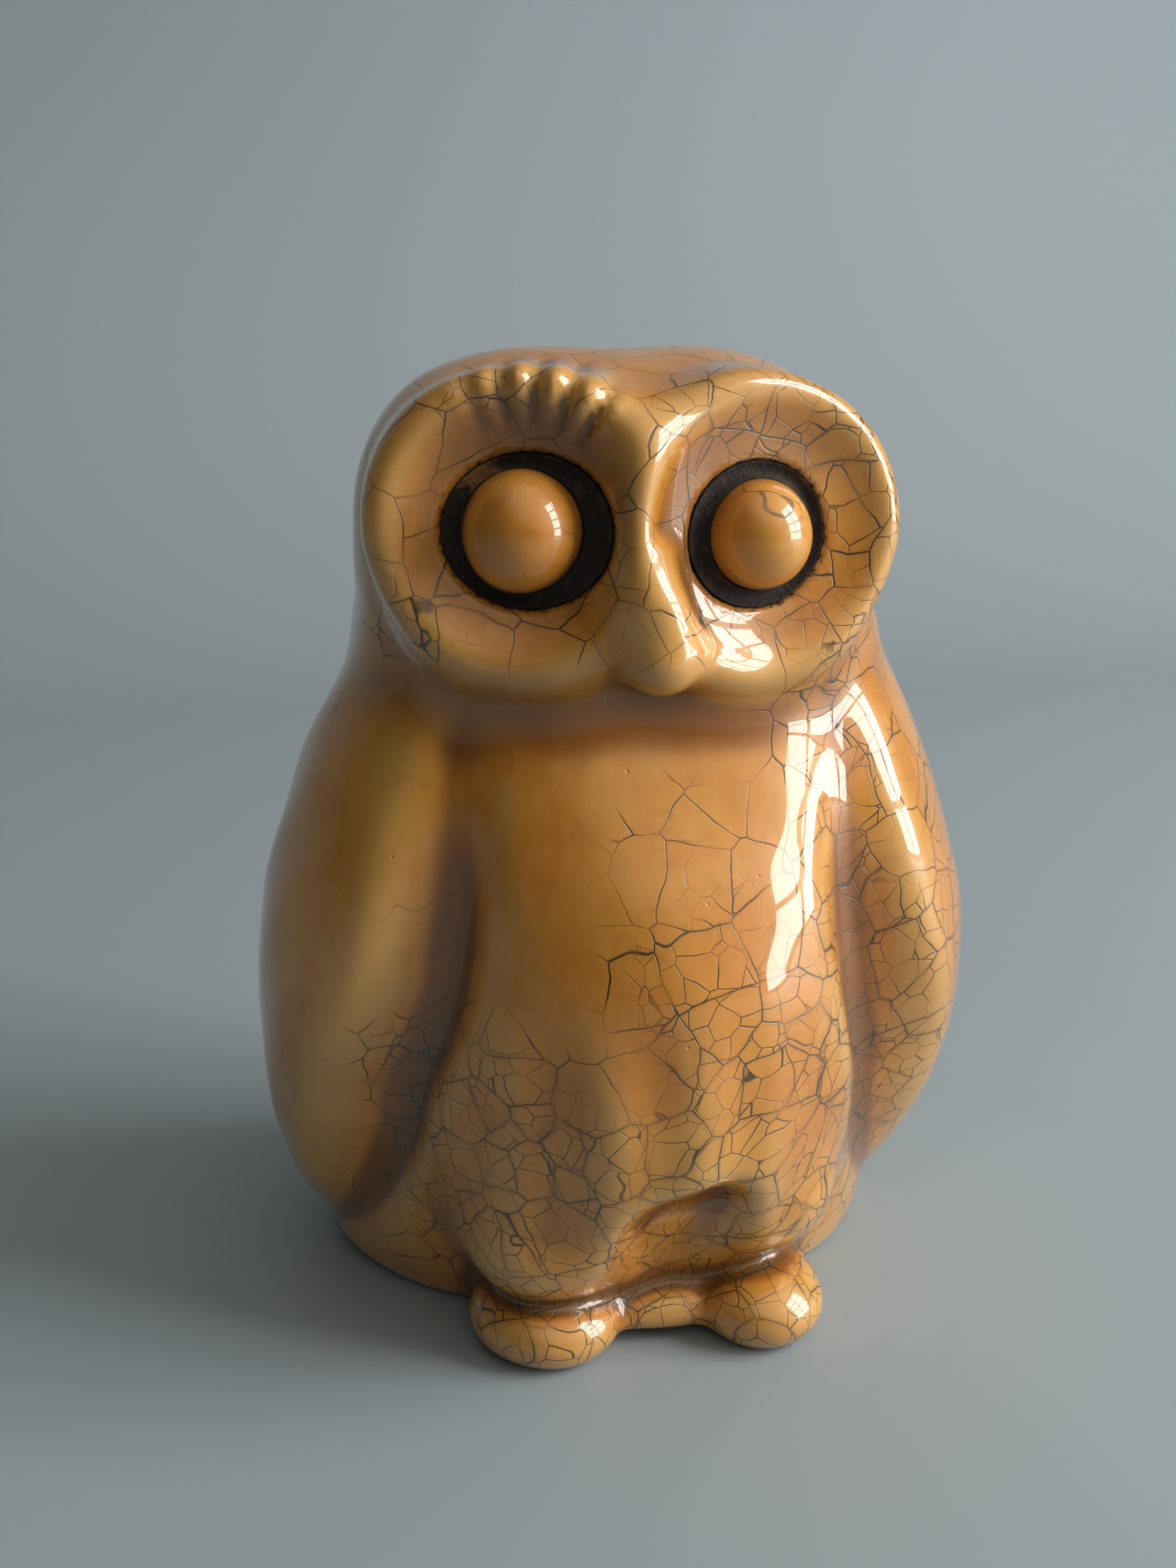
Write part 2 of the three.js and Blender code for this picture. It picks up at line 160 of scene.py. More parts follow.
# The valley is the groove between the belly and each wing; its angle is measured from the front.
VALLEY_ANGLE = (
    (5, 96), (12, 84), (20, 74), (33, 62), (43, 55.5), (52, 49.5), (62, 45), (73, 42.5), (84, 42.5),
    (94, 43), (106, 44),
)
VALLEY_DEPTH = (
    (4, 0), (15, 1.8), (28, 3.5), (45, 4.4), (65, 3.8), (80, 2.4), (92, 1.2), (104, 0.2),
)
CHEST_SQUARENESS = ((66, 2), (88, 2.4), (104, 2.4))
WING_REAR_ANGLE = (
    (5, 104), (12, 113), (20, 124), (35, 141), (50, 154), (70, 165), (90, 171), (106, 175),
)

VALLEY_HALF_WIDTH = 6.5
WING_EDGE_PAST_VALLEY = 4  # degrees
WING_TIP_HEIGHT = 5.5

# Shallow upright folds low on the belly.
FLUTE_START = -20
FLUTE_PITCH = 13
FLUTE_DEPTH = 0.4

# Hand-made unevenness: waves of about this size and length run through the whole skin.
RIPPLE_COUNT = 7
RIPPLE_HEIGHT = 0.07
RIPPLE_LENGTHS = (13, 34)

SIDES = {"right": -1, "left": 1}
AROUND_EYE = 96  # points round each ball and each ring of slip
# How strongly glaze ran over each ring of slip, high on its outer side.
GLAZE_BRIDGES = {"right": 1.0, "left": 0.0}


def node_box(name):
    """Centre and half size of a CAD node's box, in millimetres, in the frame of the part."""
    low, high = (np.array(corner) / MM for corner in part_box(name))
    return (low + high) / 2, (high - low) / 2


# Shapes are placed in the form's own frame, which is this much off the part's.
FORM_SHIFT = node_box("right_eyeball")[0] - EYE_CENTRES["right"]
EYE_RADII = {side: node_box(f"{side}_eyeball")[1].max() for side in SIDES}


# ---- the field: negative inside, positive outside --------------------------


def smooth_min(a, b, softness):
    share = np.clip(0.5 + 0.5 * (b - a) / softness, 0, 1)
    return b + (a - b) * share - softness * share * (1 - share)


def smooth_max(a, b, softness):
    return -smooth_min(-a, -b, softness)


def smooth_step(low, high, value):
    t = np.clip((value - low) / (high - low), 0, 1)
    return t * t * (3 - 2 * t)


def length(*parts):
    return np.sqrt(sum(part**2 for part in parts))


def ellipsoid(x, y, z, centre, radii):
    px, py, pz = ((p - c) / r for p, c, r in zip((x, y, z), centre, radii))
    reach = length(px, py, pz)
    steepness = length(px / radii[0], py / radii[1], pz / radii[2])
    return reach * (reach - 1) / np.maximum(steepness, 1e-6)


def round_cone(x, y, z, start, end, start_radius, end_radius):
    axis = [e - s for s, e in zip(start, end)]
    along = sum((p - s) * a for p, s, a in zip((x, y, z), start, axis))
    t = np.clip(along / sum(a * a for a in axis), 0, 1)
    away = length(*(p - s - t * a for p, s, a in zip((x, y, z), start, axis)))
    return away - (start_radius + (end_radius - start_radius) * t)


def profile(points, height):
    """Smooth curve through (height, value) pairs, held constant beyond both ends."""
    heights, values = np.array(points, float).T
    before = np.r_[0, np.arange(len(points) - 1)]
    after = np.r_[np.arange(1, len(points)), len(points) - 1]
    slopes = (values[after] - values[before]) / (heights[after] - heights[before])
    z = np.clip(height, heights[0], heights[-1])
    i = np.clip(np.searchsorted(heights, z) - 1, 0, len(points) - 2)
    step = heights[i + 1] - heights[i]
    t = (z - heights[i]) / step
    return (
        (2 * t**3 - 3 * t**2 + 1) * values[i]
        + (3 * t**2 - 2 * t**3) * values[i + 1]
        + (t**3 - 2 * t**2 + t) * step * slopes[i]
        + (t**3 - t**2) * step * slopes[i + 1]
    )


def oval_body(x, y, z, half_width, front_depth, rear_depth, squareness=2):
    centre_y = profile(BODY_CENTRE_Y, z)
    depth = np.where(y < centre_y, profile(front_depth, z), profile(rear_depth, z))
    across = np.abs(x) / profile(half_width, z)
    along = np.abs(y - centre_y) / depth
    return ((across**squareness + along**squareness) ** (1 / squareness) - 1) * SPACING


def angle_from_front(x, y):
    return np.degrees(np.arctan2(np.abs(x), 1 - y))


def arc_length(degrees):
    return np.radians(degrees) * ARC_RADIUS


def torso(x, y, z):
    squareness = profile(CHEST_SQUARENESS, z)
    shape = oval_body(x, y, z, CORE_HALF_WIDTH, CORE_FRONT_DEPTH, CORE_REAR_DEPTH, squareness)
    shape = smooth_min(shape, ellipsoid(x, y, z, *BELLY), 8)
    for thigh in THIGHS:
        shape = smooth_min(shape, round_cone(x, y, z, *thigh), 5)
    return smooth_max(shape, -round_cone(x, y, z, *CLEFT), 4.5)


def wings(x, y, z):
    surface = oval_body(x, y, z, WING_HALF_WIDTH, WING_FRONT_DEPTH, WING_REAR_DEPTH)
    angle = angle_from_front(x, y)
    before_front = profile(VALLEY_ANGLE, z) + WING_EDGE_PAST_VALLEY - angle
    past_rear = angle - profile(WING_REAR_ANGLE, z)
    leaf = smooth_max(arc_length(np.maximum(before_front, past_rear)), WING_TIP_HEIGHT - z, 4)
    return smooth_max(surface, leaf, 9)


def flutes(x, y, z):
    """Depth of the shallow upright folds low on the belly."""
    fold = np.sin(2 * math.pi * (x - FLUTE_START) / FLUTE_PITCH + 0.5 * np.sin(z / 9))
    low_front = smooth_step(14, 26, z) * (1 - smooth_step(48, 68, z)) * smooth_step(8, 24, -y)
    across = smooth_step(-32, -22, x) * (1 - smooth_step(8, 26, x))
    return FLUTE_DEPTH * fold * low_front * across


def valley(x, y, z):
    offset = arc_length(angle_from_front(x, y) - profile(VALLEY_ANGLE, z))
    deepened = np.where(x < 0, RIGHT_VALLEY_EXTRA, 1)
    return deepened * profile(VALLEY_DEPTH, z) * np.exp(-((offset / VALLEY_HALF_WIDTH) ** 2))


def feet(x, y, z):
    """Both feet and the low apron of clay between them, arched clear of the ground."""
    shape = smooth_max(ellipsoid(x, y, z, *APRON), -ellipsoid(x, y, z, *APRON_ARCH), 1)
    for side, depth in FOOT_DEPTHS.items():
        centre, half = node_box(f"{side}_foot")
        centre = centre - FORM_SHIFT
        middle = (centre[0], centre[1] - half[1] + depth, FOOT_MIDDLE_HEIGHT)
        foot = ellipsoid(x, y, z, middle, (half[0], depth, FOOT_HALF_HEIGHT))
        shape = smooth_min(shape, foot, 2)
    return shape


def lower_body(x, y, z):
    leaned = x + profile(BODY_LEAN, z)
    shape = smooth_min(torso(leaned, y, z) + flutes(x, y, z), wings(leaned, y, z), 4)
    shape = shape + valley(leaned, y, z)
    shape = smooth_min(shape, round_cone(x, y, z, *TAIL), 8)
    shape = smooth_max(shape, z - SHOULDER_HEIGHT, END_ROUNDING)
    shape = smooth_max(shape, UNDERSIDE_HEIGHT - z, END_ROUNDING)
    return smooth_min(shape, feet(x, y, z), 2)


def eye_frame(x, y, z, side):
    """A point's distances sideways, up and outward in one eye's own frame."""
    out_x = SIDES[side] * math.sin(EYE_CANT)
    out_y = -math.cos(EYE_CANT)
    dx, dy, dz = (p - c for p, c in zip((x, y, z), EYE_CENTRES[side]))
    return (dy * out_x - dx * out_y) * SIDES[side], dz, dx * out_x + dy * out_y


def from_well(sideways, up, side):
    """Distance outward from the oval edge of one eye's dark ring."""
    half_width, half_height, shift = WELLS[side]
    return (length((sideways - shift) / half_width, up / half_height) - 1) * half_height


def scallops(sideways, up, outward):
    """Depth of the soft grooves that fan out over the front of the brow above the owl's right eye."""
    angle = np.degrees(np.arctan2(up, -sideways))
    reach = length(sideways, up)
    groove = 0.5 + 0.5 * np.cos(2 * math.pi * (angle - SCALLOP_PHASE) / SCALLOP_PITCH)
    low, high = SCALLOP_SPAN
    fan = smooth_step(low, low + 8, angle) * (1 - smooth_step(high - 45, high, angle))
    band = smooth_step(12.5, 17, reach) * (1 - smooth_step(20.5, 24, reach))
    front = smooth_step(-16, -5, outward)
    return SCALLOP_DEPTH * fan * band * front * (2 * groove - 1)


def head(x, y, z):
    power = HEAD_SQUARENESS
    ratios = (np.abs(p - c) / r for p, c, r in zip((x, y, z), HEAD_CENTRE, HEAD_RADII))
    shape = (sum(ratio**power for ratio in ratios) ** (1 / power) - 1) * HEAD_SPACING
    brows = [
        ellipsoid(x, y, z, (HEAD_X + offset, BROW_Y, BROW_Z), BROW_RADII)
        for offset in BROW_OFFSETS
    ]
    shape = smooth_min(shape, smooth_min(*brows, 9), 8)
    shape = smooth_min(shape, ellipsoid(x, y, z, *FOREHEAD), 6)
    for side in SIDES:
        sideways, up, outward = eye_frame(x, y, z, side)
        above = up - RIM_LIFT
        ring_radius = length(sideways, np.where(above > 0, above / RIM_SQUASH, above / RIM_STRETCH))
        rim = length(ring_radius - DISC_RIM_RADIUS, outward - RIM_FORWARD) - DISC_RIM_THICKNESS
        across = length(sideways / DISH_RADII[0], (up - DISH_LIFT) / DISH_RADII[1])
        deep = np.abs(outward - DISH_FORWARD) / DISH_RADII[2]
        power = DISH_SQUARENESS[side]
        dish = (across**power + deep**power) ** (1 / power) - 1
        shape = smooth_max(smooth_min(shape, rim, 8), -dish * DISH_RADII[2], 3.5)
        if side == "right":
            shape = shape + scallops(sideways, up, outward)
    shape = smooth_min(shape, ellipsoid(x, y, z, *LEFT_CHEEK), 5)
    (top, r_top), (bend, r_bend), (tip, r_tip) = BEAK_PATH
    beak = smooth_min(
        round_cone(x, y, z, top, bend, r_top, r_bend),
        round_cone(x, y, z, bend, tip, r_bend, r_tip), 1)
    return smooth_min(shape, beak, 3.2)


def ripple(x, y, z):
    random = np.random.default_rng(11)
    total = 0
    for _ in range(RIPPLE_COUNT):
        direction = random.normal(size=3)
        direction /= np.linalg.norm(direction)
        turns = 2 * math.pi / random.uniform(*RIPPLE_LENGTHS)
        phase = random.uniform(0, 2 * math.pi)
        along = x * direction[0] + y * direction[1] + z * direction[2]
        total = total + RIPPLE_HEIGHT * np.sin(turns * along + phase)
    return total


def outside(x, y, z):
    return smooth_min(lower_body(x, y, z), head(x, y, z), 5) + ripple(x, y, z)


def skin(x, y, z):
    """The whole shell: the outside, less the wells round the eyes, the hollow and the pour hole."""
    outer = outside(x, y, z)
    shape = smooth_max(outer, 0.02 - z, 0.6)
    hollow = outer + WALL
    for side in SIDES:
        sideways, up, outward = eye_frame(x, y, z, side)
        from_eye = length(sideways, up, outward)
        well = smooth_max(from_well(sideways, up, side), WELL_FLOOR - outward, 1)
        shape = smooth_max(shape, -well, 1.2)
        shape = smooth_max(shape, EYE_RADII[side] + EYE_GAP - from_eye, 0.3)
        hollow = smooth_max(hollow, EYE_RADII[side] + WALL - from_eye, 3)
    hollow = smooth_max(hollow, WALL - z, 3)
    pour_hole = smooth_max(length(x, y - POUR_HOLE_Y) - POUR_HOLE_RADIUS, z - 3 * WALL, 1)
    return smooth_max(shape, -smooth_min(hollow, pour_hole, 1), 1)


# ---- meshes -----------------------------------------------------------------


CORNERS = [(i, j, k) for i in (0, 1) for j in (0, 1) for k in (0, 1)]


def corner_slice(values, corner):
    return values[tuple(slice(c, n - 1 + c) for c, n in zip(corner, values.shape))]


def net_vertices(values, cells):
    """One vertex in each crossed cell, in grid steps: the mean of the crossings on its edges."""
    total = np.zeros((len(cells), 3))
    crossings = np.zeros(len(cells))
    for corner in CORNERS:
        for direction in range(3):
            if corner[direction] == 1:
                continue
            start = cells + np.array(corner)
            end = start + np.eye(3, dtype=int)[direction]
            a = values[tuple(start.T)]
            b = values[tuple(end.T)]
            cut = (a < 0) != (b < 0)
            share = a[cut] / (a[cut] - b[cut])
            total[cut] += start[cut] + share[:, None] * (end[cut] - start[cut])
            crossings[cut] += 1
    return total / crossings[:, None]


def net_faces(inside, number):
    """A four-sided face across each grid edge that the surface crosses, facing out."""
    faces = []
    for direction in range(3):
        one = (direction + 1) % 3
        other = (direction + 2) % 3
        near = [slice(1, -1)] * 3
        far = [slice(1, -1)] * 3
        near[direction] = slice(0, -1)
        far[direction] = slice(1, None)
        starts_inside = inside[tuple(near)]
        ends_inside = inside[tuple(far)]
        offset = np.ones(3, int)
        offset[direction] = 0
        for leaving in (True, False):
            crossed = starts_inside & ~ends_inside if leaving else ~starts_inside & ends_inside
            edges = np.argwhere(crossed) + offset
            square = []
            for shift_one, shift_other in ((-1, -1), (0, -1), (0, 0), (-1, 0)):
                cell = edges.copy()
                cell[:, one] += shift_one
                cell[:, other] += shift_other
                square.append(number[tuple(cell.T)])
            face = np.stack(square, 1)
            faces.append(face if leaving else face[:, ::-1])
    return np.concatenate(faces)


def surface_net(field, low, high, step):
    """Mesh of four-sided faces round the space where the field is negative."""
    counts = [int(math.ceil((end - start) / step)) + 1 for start, end in zip(low, high)]
    axes = [start + step * np.arange(count) for start, count in zip(low, counts)]
    values = field(*np.meshgrid(*axes, indexing="ij", sparse=True))
    inside = values < 0
    filled = sum(corner_slice(inside, corner).astype(np.int8) for corner in CORNERS)
    crossed = (filled > 0) & (filled < len(CORNERS))
    cells = np.argwhere(crossed)
    number = np.full(crossed.shape, -1)
    number[crossed] = np.arange(len(cells))
    return net_vertices(values, cells) * step + np.array(low), net_faces(inside, number)


def gradient(field, points, reach=0.05):
    x, y, z = points.T
    return np.stack([
        field(x + reach, y, z) - field(x - reach, y, z),
        field(x, y + reach, z) - field(x, y - reach, z),
        field(x, y, z + reach) - field(x, y, z - reach)], 1) / (2 * reach)


def onto_surface(field, points, rounds=3, longest=0.6):
    """Moves points down the field's slope until they lie on its surface."""
    points = points.copy()
    for _ in range(rounds):
        slope = gradient(field, points)
        steepness = np.maximum((slope**2).sum(1), 1e-3)
        move = -(field(*points.T) / steepness)[:, None] * slope
        size = np.linalg.norm(move, axis=1)
        points += move * np.minimum(1, longest / np.maximum(size, 1e-9))[:, None]
    return points


def hollowness(points, reach):
    """Above 0 where the outside is dished and glaze pools, below 0 on ridges."""
    x, y, z = points.T
    around = [
        outside(x + i * reach, y + j * reach, z + k * reach)
        for i, j, k in ((1, 0, 0), (-1, 0, 0), (0, 1, 0), (0, -1, 0), (0, 0, 1), (0, 0, -1))
    ]
    return (outside(x, y, z) - sum(around) / 6) / reach


def new_object(name, vertices, faces):
    """An object in the row frame from vertices in millimetres in the form's own frame."""
    mesh = bpy.data.meshes.new(name)
    moved = (np.asarray(vertices) + FORM_SHIFT) * MM
    mesh.from_pydata(moved.tolist(), [], faces)
    mesh.polygons.foreach_set("use_smooth", [True] * len(mesh.polygons))
    obj = bpy.data.objects.new(name, mesh)
    bpy.context.scene.collection.objects.link(obj)
    return obj


def add_values(obj, name, values):
    """Stores one number per vertex for the material to read."""
    attribute = obj.data.attributes.new(name, "FLOAT", "POINT")
    attribute.data.foreach_set("value", np.asarray(values, np.float32))


def crackle_amount(x, y, z):
    """How densely the glaze has cracked, from 0 to 1."""
    front = smooth_step(0, 25, -y)
    belly = 0.75 * smooth_step(-22, 6, x) * smooth_step(104, 66, z) * front
    low_belly = smooth_step(68, 42, z) * front * smooth_step(-52, -28, x)
    left_side = smooth_step(8, 24, x)
    beside_valley = arc_length(angle_from_front(x, y) - profile(VALLEY_ANGLE, z))
    in_valley = 0.95 * left_side * np.exp(-((beside_valley / 11) ** 2)) * smooth_step(114, 104, z)
    left_wing = 0.4 * left_side
    head_part = 0.42 * smooth_step(104, 112, z) * (1 + 0.6 * smooth_step(12, 24, x))
    return np.maximum.reduce([belly, low_belly, in_valley, left_wing, head_part, np.full_like(x, 0.08)])


def thick_glaze_and_shade(points):
    """How thick and dark the glaze lies in the eye dishes, nose side above, and under the chin: partly
    real thick glaze, partly painted shade under the brows and under the chin.
    """
    total = 0
    # Painted shade with thick glaze: darker high in each eye dish and towards the nose, more in the
    # owl's right eye.
    for side, strength in (("right", 1.0), ("left", 0.85)):
        sideways, up, outward = eye_frame(*points.T, side)
        reach = length(sideways, up - RIM_LIFT)
        toward = 0.8 * up - 0.5 * sideways
        in_dish = smooth_step(19, 13, reach) * smooth_step(-14, -8, outward)
        total = total + strength * in_dish * smooth_step(-4, 10, toward)
    x, y, z = points.T
    # Painted shade under the chin, darker on the owl's right side, away from the softbox.
    under_chin = np.exp(-(((z - 103.5) / 4) ** 2)) * smooth_step(0, 25, -y)
    return total + under_chin * (0.3 + 0.6 * smooth_step(12, -8, x))


def slip_distance(points):
    """Distance outward from the edge of the nearer eye's dark ring."""
    distances = []
    for side in SIDES:
        sideways, up, outward = eye_frame(*points.T, side)
        distances.append(from_well(sideways, up, side) + np.maximum(-outward - 6, 0))
    return np.minimum(*distances)


def owl_skin():
    low, high = (np.array(corner) / MM for corner in cad_bounds)
    margin = 4 * GRID_STEP
    low = low - FORM_SHIFT - margin
    high = high - FORM_SHIFT + margin
    vertices, faces = surface_net(skin, low, high, GRID_STEP)
    vertices = onto_surface(skin, vertices)
    obj = new_object("glazed_skin", vertices, faces.tolist())
    normals = gradient(skin, vertices)
    normals /= np.linalg.norm(normals, axis=1)[:, None]
    obj.data.normals_split_custom_set_from_vertices(normals.tolist())
    outer = np.abs(outside(*vertices.T)) < 1
    glazed = outer & (vertices[:, 2] > 0.4)
    add_values(obj, "pooling", hollowness(vertices, 4.0))
    add_values(obj, "fine_pooling", hollowness(vertices, 1.6))
    add_values(obj, "crackle", crackle_amount(*vertices.T))
    add_values(obj, "thick_glaze_and_shade", thick_glaze_and_shade(vertices))
    add_values(obj, "slip_edge", slip_distance(vertices))
    add_values(obj, "glazed", glazed)
    return obj


def from_eye_frame(sideways, up, outward, side):
    """The reverse of eye_frame, as an array of points."""
    out = np.array([SIDES[side] * math.sin(EYE_CANT), -math.cos(EYE_CANT), 0])
    across = np.array([math.cos(EYE_CANT), SIDES[side] * math.sin(EYE_CANT), 0]) * SIDES[side]
    steps = sideways[:, None] * across + up[:, None] * np.array([0, 0, 1]) + outward[:, None] * out
    return steps + EYE_CENTRES[side]


def polar_patch(side, rings, place):
    """Rings of points about one eye's axis. place(ring, angles) gives sideways, up and outward."""
    angles = np.arange(AROUND_EYE) * 2 * math.pi / AROUND_EYE
    return np.array([
        from_eye_frame(*(part * np.ones_like(angles) for part in place(ring, angles)), side)
        for ring in range(rings)
    ])


def ring_faces(rings, side, closed):
    """Four-sided faces between neighbouring rings, facing out on either side of the head."""
    faces = []
    for ring in range(rings if closed else rings - 1):
        near, far = ring * AROUND_EYE, (ring + 1) % rings * AROUND_EYE
        for i in range(AROUND_EYE):
            j = (i + 1) % AROUND_EYE
            face = (near + i, far + i, far + j, near + j)
            faces.append(face if SIDES[side] > 0 else face[::-1])
    return faces


def eyeball(side):
    """A ball rolled by hand: a little taller than wide, and not quite even."""
    rings = 40

    def place(ring, angles):
        lean = math.pi * (ring + 0.5) / rings
        lumps = 0.08 * np.cos(2 * angles + 1.1) * math.sin(lean) ** 2
        lumps = lumps + 0.07 * np.cos(3 * angles + 2 * lean) * math.sin(lean) ** 3
        radius = EYE_RADII[side] - 0.1 + lumps
        flat = radius * math.sin(lean)
        return flat * np.cos(angles) * 0.985, flat * np.sin(angles) * 1.02, radius * math.cos(lean)

    points = polar_patch(side, rings, place)
    vertices = np.concatenate([points.reshape(-1, 3), [points[0].mean(0), points[-1].mean(0)]])
    faces = ring_faces(rings, side, closed=False)
    front, back = rings * AROUND_EYE, rings * AROUND_EYE + 1
    last = (rings - 1) * AROUND_EYE
    for i in range(AROUND_EYE):
        j = (i + 1) % AROUND_EYE
        for cap in ((front, i, j), (back, last + j, last + i)):
            faces.append(cap if SIDES[side] > 0 else cap[::-1])
    return new_object(f"{side}_eye", vertices, faces)


def skin_height(side, sideways, up):
    """How far outward the skin lies at places given in one eye's own frame."""
    low = np.full_like(sideways, -4.0)
    high = np.full_like(sideways, 8.0)
    for _ in range(20):
        middle = (low + high) / 2
        buried = outside(*from_eye_frame(sideways, up, middle, side).T) < 0
        low = np.where(buried, middle, low)
        high = np.where(buried, high, middle)
    return low


def slip_ring(side):
    """Dark slip that fills the well, dished between the ball and the well's edge and grainy on top."""
    top_steps = 12
    side_steps = 3
    rings = top_steps + side_steps + 3
    ball_radius = EYE_RADII[side] + 0.05
    half_width, half_height, shift = WELLS[side]
    random = np.random.default_rng(5)
    grain = random.normal(0, 0.045, (rings, AROUND_EYE))

    def place(ring, angles):
        edge = skin_height(side, half_width * np.cos(angles) + shift, half_height * np.sin(angles)) - 0.3
        if ring <= top_steps:
            share = ring / top_steps
            dip = math.sin(math.pi * share)
            height = 0.3 + (edge - 0.3) * share - 0.9 * dip + grain[ring] * dip
        elif ring <= top_steps + side_steps:
            share = 1
            height = edge + (WELL_FLOOR + 0.2 - edge) * (ring - top_steps) / side_steps
        else:
            share = 1 - (ring - top_steps - side_steps) / 3
            height = WELL_FLOOR + 0.2
        across = ball_radius + (half_width - 0.05 - ball_radius) * share
        high = ball_radius + (half_height - 0.05 - ball_radius) * share
        return (
            across * np.cos(angles) + shift * share,
            high * np.sin(angles),
            height * np.ones_like(angles),
        )

    points = polar_patch(side, rings, place)
    obj = new_object(f"{side}_slip_ring", points.reshape(-1, 3), ring_faces(rings, side, closed=True))
    angles = np.degrees(np.arange(AROUND_EYE) * 2 * math.pi / AROUND_EYE)
    bridge = GLAZE_BRIDGES[side] * np.exp(-(((angles - 52) / 22) ** 2))
    add_values(obj, "glaze_bridge", np.tile(bridge, rings))
    return obj


# ---- materials ----------------------------------------------------------------

HONEY = (0.52, 0.195, 0.020)
OCHRE = (0.60, 0.27, 0.040)
TOFFEE = (0.24, 0.068, 0.006)
UMBER = (0.17, 0.062, 0.008)
OLIVE = (0.13, 0.065, 0.012)
PALE_RIDGE = (0.60, 0.36, 0.11)
CRACK = (0.022, 0.021, 0.012)
SLIP_BLACK = (0.020, 0.014, 0.012)
SLIP_BROWN = (0.075, 0.038, 0.018)
CLAY = (0.52, 0.36, 0.23)
GRAIN = (0.32, 0.25, 0.19)
THIN_GLAZE = (0.30, 0.15, 0.04)

BALL_ROUGHNESS = 0.4
SKIN_ROUGHNESS = 0.36
BARE_ROUGHNESS = 0.8

# The crackle is a net of coarse cells, each with finer cells of its own.
COARSE_CELL = 9.0
COARSE_CRACK = 0.10  # half width
FINE_CELL = 4.4
FINE_CRACK = 0.075
STAIN = 0.5  # half width of the stained glaze beside a coarse crack


class Shader:
    """Builds one material's nodes. A socket or a plain value may be given for any input."""

    def __init__(self, name):
        self.material = bpy.data.materials.new(name)
        self.material.use_nodes = True
        self.tree = self.material.node_tree
        self.surface = self.tree.nodes["Principled BSDF"]
        coordinates = self.tree.nodes.new("ShaderNodeTexCoord")
        self.place = self.vector("SCALE", coordinates.outputs["Object"], scale=1 / MM)

    def give(self, socket, value):
        if isinstance(value, bpy.types.NodeSocket):
            self.tree.links.new(value, socket)
        elif isinstance(value, tuple) and len(value) == 3 and socket.type == "RGBA":
            socket.default_value = (*value, 1)
        else:
            socket.default_value = value

    def vector(self, operation, a, b=None, scale=None):
        node = self.tree.nodes.new("ShaderNodeVectorMath")
        node.operation = operation
        self.give(node.inputs[0], a)
        if b is not None:
            self.give(node.inputs[1], b)
        if scale is not None:
            self.give(node.inputs["Scale"], scale)
        return node.outputs[0]

    def math(self, operation, a, b=0.0):
        node = self.tree.nodes.new("ShaderNodeMath")
        node.operation = operation
        self.give(node.inputs[0], a)
        self.give(node.inputs[1], b)
        return node.outputs[0]

    def span(self, value, low, high, to_low=0.0, to_high=1.0):
        """Smooth change from to_low to to_high as value goes from low to high."""
        node = self.tree.nodes.new("ShaderNodeMapRange")
        node.interpolation_type = "SMOOTHSTEP"
        for socket, number in zip(node.inputs, (value, low, high, to_low, to_high)):
            self.give(socket, number)
        return node.outputs[0]

    def mix(self, share, a, b, blend="MIX"):
        node = self.tree.nodes.new("ShaderNodeMix")
        node.data_type = "RGBA"
        node.blend_type = blend
        self.give(node.inputs["Factor"], share)
        self.give(node.inputs[6], a)
        self.give(node.inputs[7], b)
        return node.outputs[2]

    def noise(self, size, detail=2.0, roughness=0.5, place=None, colour=False):
        """Noise whose blobs are about size millimetres across, from 0 to 1."""
        node = self.tree.nodes.new("ShaderNodeTexNoise")
        self.give(node.inputs["Vector"], place or self.place)
        self.give(node.inputs["Scale"], 1 / size)
        self.give(node.inputs["Detail"], detail)
        self.give(node.inputs["Roughness"], roughness)
        return node.outputs["Color" if colour else "Fac"]

    def voronoi(self, size, feature, place=None, randomness=1.0):
        node = self.tree.nodes.new("ShaderNodeTexVoronoi")
        node.feature = feature
        self.give(node.inputs["Vector"], place or self.place)
        self.give(node.inputs["Scale"], 1 / size)
        self.give(node.inputs["Randomness"], randomness)
        return node.outputs

    def attribute(self, name):
        node = self.tree.nodes.new("ShaderNodeAttribute")
        node.attribute_name = name
        return node.outputs["Fac"]

    def warped(self, size, reach, place=None):
        """The place, pushed about by up to half of reach millimetres."""
        push = self.vector("SUBTRACT", self.noise(size, 1.0, place=place, colour=True), (0.5,) * 3)
        return self.vector("ADD", place or self.place, self.vector("SCALE", push, scale=reach))

    def bump(self, height, distance, strength=1.0, below=None):
        node = self.tree.nodes.new("ShaderNodeBump")
        self.give(node.inputs["Height"], height)
        self.give(node.inputs["Distance"], distance)
        self.give(node.inputs["Strength"], strength)
        if below is not None:
            self.give(node.inputs["Normal"], below)
        return node.outputs["Normal"]


def crack_line(shader, edge_distance, cell, half_width):
    """1 on a crack, 0 beside it, from a Voronoi edge distance in cells."""
    return shader.span(edge_distance, half_width * 0.35 / cell, half_width * 1.5 / cell, 1.0, 0.0)


